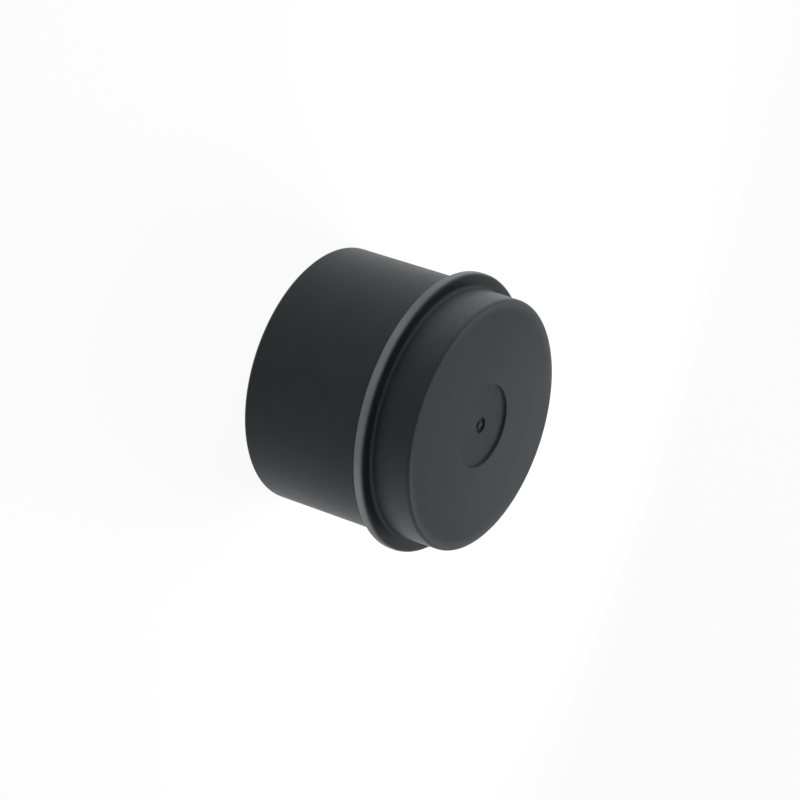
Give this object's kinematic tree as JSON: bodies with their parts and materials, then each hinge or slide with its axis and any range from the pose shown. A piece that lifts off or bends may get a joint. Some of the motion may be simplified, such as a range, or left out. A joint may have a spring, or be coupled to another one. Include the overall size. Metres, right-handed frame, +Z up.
{
  "type": "waste pipe end cap",
  "caption": "Black moulded plug that closes a waste pipe socket: smooth open spigot, thin stop flange and short boss with a flat end face and a shallow sunk disc at its centre.",
  "frame": {"origin": "centre of the open rim, on the plane that the cap stands on", "axes": "+Z up the axis from the open rim to the closed face; X and Y are any two directions square to it"},
  "size_m": [0.0436, 0.0436, 0.0296],
  "materials": {
    "moulded_plastic": "black polypropylene, satin as moulded, rubbed paler on the rim of the flange"
  },
  "bodies": {
    "root": {"end_cap": "moulded_plastic"}
  },
  "joints": []
}
